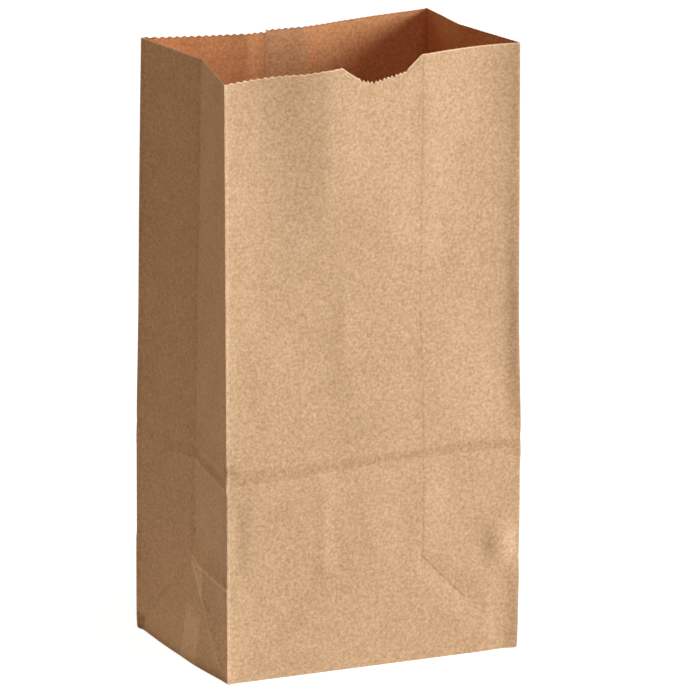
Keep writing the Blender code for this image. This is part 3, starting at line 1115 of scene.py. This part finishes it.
# Dark lines of creases and edges; in the hollows they also paint the shade.
dark_creases_and_shade = (
    0.12 * dark_rim + 0.14 * front_half * band_top + 0.10 * middle + 0.16 * front_fold
    + 0.10 * back_fold + 0.18 * imprint + 0.36 * slant)
# Wide soft masks: painted shade of the band, above the ridge and in front of the fold, with the
# soft wedge, patch and foot-corner marks.
soft_marks_and_painted_shade = (
    0.22 * wedge + 0.17 * patch - 0.22 * foot_corner - 0.09 * fold_shade
    - 0.12 * ridge_shade - 0.07 * band * (1 - 0.7 * back_half))
on_outside = rough_edge * (rubbed_and_highlit - dark_creases_and_shade) + soft_marks_and_painted_shade + 0.50 * cut_edge
wear_and_painted_light = outside * on_outside - inside * 0.25 * cut_edge
print("with its wear the paper takes", len(recipe.tree.nodes), "nodes")

# %% [markdown]
# ## The paper's shader
#
# Dark and light parts of kraft differ more in blue than in red, so the tone picks a
# colour between a deep brown and a pale tan. The inner face of the bag is given a browner,
# redder colour than the outer one, though less so on the lap: a painted glow that stands
# for the warm light coming through the paper and bouncing inside the bag. The paper is
# matt, and its fibres stand up by a few hundredths of a millimetre, which a bump shows
# well enough.

# %% Kraft paper
OUTER_KRAFT = (0.65, 0.458, 0.270)
# The inner face's colour, redder than the outer one, paints in the glow of light through the
# paper.
INNER_KRAFT_WITH_PAINTED_GLOW = (0.77, 0.382, 0.165)
DEEP = (0.5, 0.39, 0.22)
PALE = (1.5, 1.61, 1.78)
LAP_SHARE = 0.35


def blend(share, first, second):
    """The first colour where the share is 0, and the second where it is 1."""
    return recipe.add("Mix", {"data_type": "RGBA"}, {0: share, 6: first, 7: second}).out(2)


def kraft(base):
    """The colour of kraft of this base colour, at the tone, wear and painted light found above.
    """
    deep = [part * ratio for part, ratio in zip(base, DEEP)] + [1.0]
    pale = [part * ratio for part, ratio in zip(base, PALE)] + [1.0]
    return blend(0.5 + tone + wear_and_painted_light, deep, pale)


lap = LAP_SHARE * step(s_at, BLANK_END - SEAM_LAP - 0.0006, BLANK_END - SEAM_LAP)
colour = blend(inside * (1 - lap), kraft(OUTER_KRAFT), kraft(INNER_KRAFT_WITH_PAINTED_GLOW))
fuzz = 0.022 * mottle + 0.013 * fibre - 0.020 * fleck
bump = recipe.add("Bump", {}, {"Height": fuzz, "Distance": 0.001, "Strength": 1.0})
paper_shader = recipe.add("BsdfPrincipled", {}, {
    "Base Color": colour,
    "Roughness": 0.84 + 0.25 * mottle,
    "Specular IOR Level": 0.3,
    "Normal": bump,
})
recipe.add("OutputMaterial", {}, {"Surface": paper_shader})
bag.data.materials.clear()
bag.data.materials.append(paper)
print("the finished recipe has", len(recipe.tree.nodes), "nodes")

# %% [markdown]
# ## A pale floor and a white room
#
# The picture was taken on a white sheet that fades into a white background. To the
# camera the floor is therefore nearly as bright as white by itself, and only a part of
# the light that falls on it is added, so the bag's shadow still shows faintly. To every
# other ray the floor is plain pale paint, and lights the foot of the bag from below.

# %% Floor
FLOOR_SIZE = 4.0
FLOOR_PAINT = (0.73, 0.73, 0.70, 1)
FLOOR_GLOW = 1.87
GLOW_SHARE = 0.5


def seen(nodes):
    """1 for rays that show the background: from the camera, or off gloss and glass."""
    path = nodes.add("LightPath")
    return path + path.out("Is Glossy Ray") + path.out("Is Transmission Ray")


bpy.ops.object.select_all(action="DESELECT")
bpy.ops.mesh.primitive_plane_add(size=FLOOR_SIZE, location=(0, 0, 0))
floor = bpy.context.object
floor.name = "floor"
floor_paint = bpy.data.materials.new("floor_paint")
floor_recipe = Recipe(floor_paint)
floor_recipe.add("OutputMaterial", {}, {"Surface": floor_recipe.add("MixShader", {}, {
    0: GLOW_SHARE * seen(floor_recipe),
    1: floor_recipe.add("BsdfDiffuse", {}, {"Color": FLOOR_PAINT}),
    2: floor_recipe.add("Emission", {}, {"Strength": FLOOR_GLOW}),
})})
floor.data.materials.append(floor_paint)
print("the floor is", FLOOR_SIZE, "m wide")

# %% [markdown]
# ## The room
#
# The camera sees a white room. What the room sends onto the bag is only a little warm
# light, which keeps the shaded gusset and the inside of the bag reddish.

# %% World
ROOM_LIGHT = (1.0, 0.30, 0.03, 1)
ROOM_STRENGTH = 0.162

world = bpy.data.worlds.new("studio")
bpy.context.scene.world = world
room = Recipe(world)
room.add("OutputWorld", {}, {"Surface": room.add("MixShader", {}, {
    0: seen(room),
    1: room.add("Background", {}, {"Color": ROOM_LIGHT, "Strength": ROOM_STRENGTH}),
    2: room.add("Background", {}, {"Color": (1.0, 1.0, 1.0, 1), "Strength": 1.0}),
})})
print("floor and world are white to the camera")

# %% [markdown]
# ## Soft light from the right
#
# One large softbox stands low at the right and rakes across the front, which brings out
# each wave of the paper. The left side gets only what comes back from the studio, which
# is warm, and a little light from behind. A weak lamp above reaches into the bag. The
# white sheet right beside the left gusset glows, which brightens the gusset's foot: a
# small lamp that lies on the floor there, facing up, stands for it. The lamps are set so
# that the front shows about its own colour.

# %% Lamps
LAMP_AIM = Vector((0, 0, 0.11))
GLOW_HEIGHT = 0.001


def softbox(name, azimuth, elevation, distance, size, power, colour):
    """A lamp of that width and height, aimed at the bag's middle."""
    away = Vector((
        sin(azimuth) * cos(elevation), -cos(azimuth) * cos(elevation), sin(elevation)))
    bpy.ops.object.light_add(
        type="AREA", location=away * distance + LAMP_AIM,
        rotation=away.to_track_quat("Z", "Y").to_euler())
    lamp = bpy.context.object
    lamp.name = name
    lamp.data.shape = "RECTANGLE"
    lamp.data.size, lamp.data.size_y = size
    lamp.data.energy = power
    lamp.data.color = colour
    return lamp


softbox("key", radians(50), radians(13.5), 2.4, (1.9, 1.2), 61.0, (1.0, 1.01, 1.04))
softbox("top", radians(-10), radians(77), 1.6, (1.0, 1.0), 6.3, (1.0, 1.0, 1.0))
softbox("rim", radians(-146), radians(18), 1.6, (0.8, 0.8), 2.0, (0.96, 0.95, 0.62))
glow = softbox("glow", radians(-90), 0.0, 0.11, (0.10, 0.13), 0.0120, (1.0, 0.96, 0.88))
glow.location.z = GLOW_HEIGHT
glow.rotation_euler = (pi, 0.0, 0.0)
glow.visible_camera = False
bpy.context.scene.view_settings.view_transform = "Standard"
print("the glow lies at", glow.location)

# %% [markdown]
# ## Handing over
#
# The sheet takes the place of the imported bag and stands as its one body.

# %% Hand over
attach(bag, "root")
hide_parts("paper_bag")
